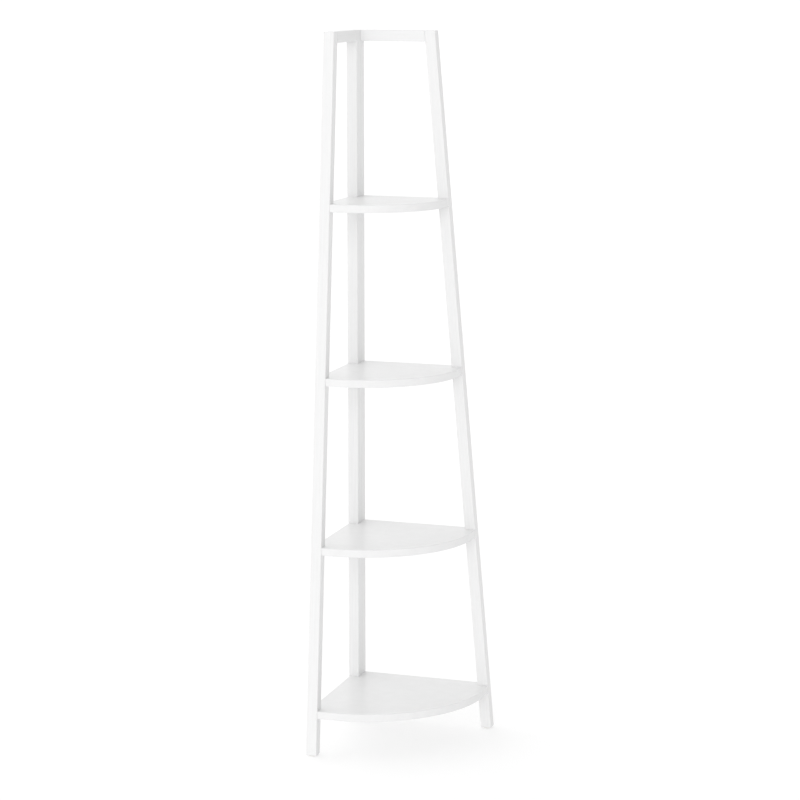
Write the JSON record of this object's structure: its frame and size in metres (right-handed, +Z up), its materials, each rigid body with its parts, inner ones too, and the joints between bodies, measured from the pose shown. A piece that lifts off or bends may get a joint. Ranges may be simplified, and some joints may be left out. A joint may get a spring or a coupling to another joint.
{
  "type": "corner ladder shelf",
  "caption": "Tall freestanding corner shelf: leaning square legs and a rear post carry quarter-round shelves that grow deeper towards the floor.",
  "frame": {"origin": "on the floor, under the middle of the footprint's bounding box", "axes": "+Z up; the left frame stands against a wall on the -X side, and the right frame against a wall on the +Y side, so the rear post is at -X +Y and the curved fronts face +X -Y"},
  "size_m": [0.3506, 0.3506, 1.65],
  "materials": {
    "frame_paint": "white satin paint on solid wood",
    "shelf_paint": "white satin paint on board",
    "screw_steel": "bright zinc plated",
    "dowel_beech": "raw beech",
    "glide_nylon": "natural nylon"
  },
  "bodies": {
    "root": {"left_leg": "frame_paint", "right_leg": "frame_paint", "left_rear_stile": "frame_paint", "right_rear_stile": "frame_paint", "left_top_rail": "frame_paint", "right_top_rail": "frame_paint", "bottom_shelf": "shelf_paint", "lower_shelf": "shelf_paint", "upper_shelf": "shelf_paint", "top_shelf": "shelf_paint", "bottom_shelf_screws": "screw_steel", "lower_shelf_screws": "screw_steel", "upper_shelf_screws": "screw_steel", "top_shelf_screws": "screw_steel", "stile_joining_screws": "screw_steel", "left_rail_dowels": "dowel_beech", "right_rail_dowels": "dowel_beech", "left_leg_glide": "glide_nylon", "right_leg_glide": "glide_nylon", "left_stile_glide": "glide_nylon", "right_stile_glide": "glide_nylon"}
  },
  "joints": []
}
